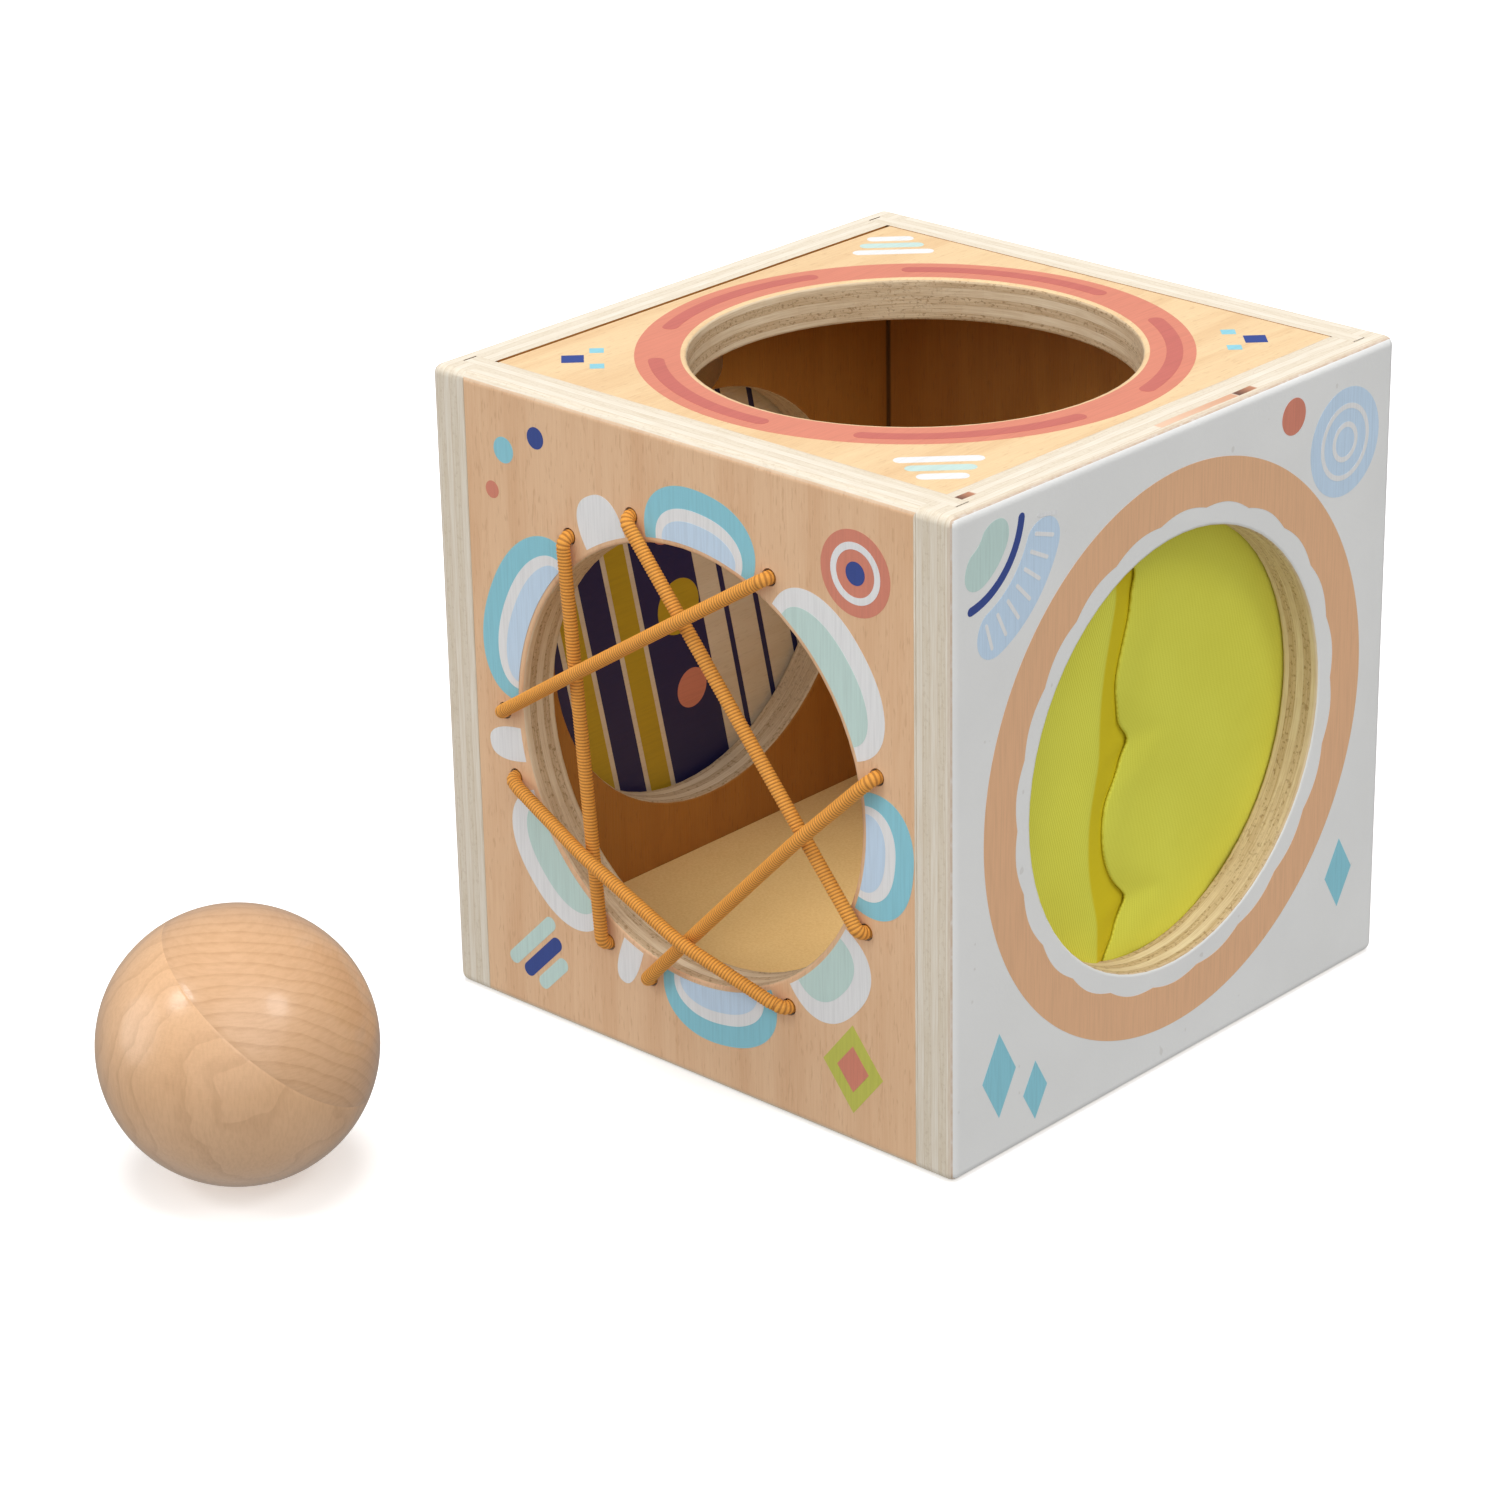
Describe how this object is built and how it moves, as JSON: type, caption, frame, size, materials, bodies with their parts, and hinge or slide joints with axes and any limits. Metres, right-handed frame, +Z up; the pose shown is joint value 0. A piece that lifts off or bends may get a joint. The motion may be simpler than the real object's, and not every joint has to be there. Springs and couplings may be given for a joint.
{
  "type": "activity cube",
  "caption": "Wooden activity cube with round openings: a laced elastic front, a slit knit curtain, a swinging cover and an open top, with a loose wooden ball.",
  "frame": {"origin": "middle of the cube's underside, on the surface that it stands on", "axes": "+Z up; the laced front looks along -Y; the curtain side looks along +X"},
  "size_m": [0.159, 0.2735, 0.15],
  "materials": {
    "plywood": "clear varnished orange-tan veneer, cream ply edges",
    "painted_plywood": "off-white paint on plywood, bare ply edges",
    "fibreboard": "bare fine fibreboard",
    "elastic": "braided ochre elastic cord",
    "knit": "fine yellow stretch knit",
    "steel": "nickelled",
    "nylon": "natural",
    "maple": "satin varnish"
  },
  "bodies": {
    "box": {"front_panel": "plywood", "back_panel": "plywood", "left_panel": "painted_plywood", "right_panel": "painted_plywood", "top_panel": "plywood", "floor_panel": "fibreboard", "elastic_lace": "elastic", "lace_knot": "elastic", "right_curtain_hem": "knit", "left_curtain_hem": "knit", "curtain_ring": "plywood", "pivot_sleeve": "steel", "pivot_bolt": "steel", "pivot_washer": "nylon"},
    "door": {"door_disc": "painted_plywood"},
    "right_flap": {"right_curtain": "knit"},
    "left_flap": {"left_curtain": "knit"},
    "ball": {"ball": "maple"}
  },
  "joints": [
    {"name": "door_swing", "type": "hinge", "parent": "box", "child": "door", "pos_m": [-0.0787, 0, 0.132], "axis": [1, 0, 0], "continuous": true},
    {"name": "right_curtain_push", "type": "hinge", "parent": "box", "child": "right_flap", "pos_m": [0.0645, 0.041, 0.075], "axis": [0, 0, -1], "range_deg": [0, 50], "stiffness_Nm_per_rad": 0.004},
    {"name": "left_curtain_push", "type": "hinge", "parent": "box", "child": "left_flap", "pos_m": [0.0645, -0.041, 0.075], "axis": [0, 0, 1], "range_deg": [0, 75], "stiffness_Nm_per_rad": 0.004},
    {"name": "ball_roll", "type": "slide", "parent": "box", "child": "ball", "axis": [1, 0, 0], "range_m": [-0.12, 0.12]}
  ],
  "couplings": [
    {"joint": "left_curtain_push", "follows": "right_curtain_push", "ratio": 1.5}
  ]
}
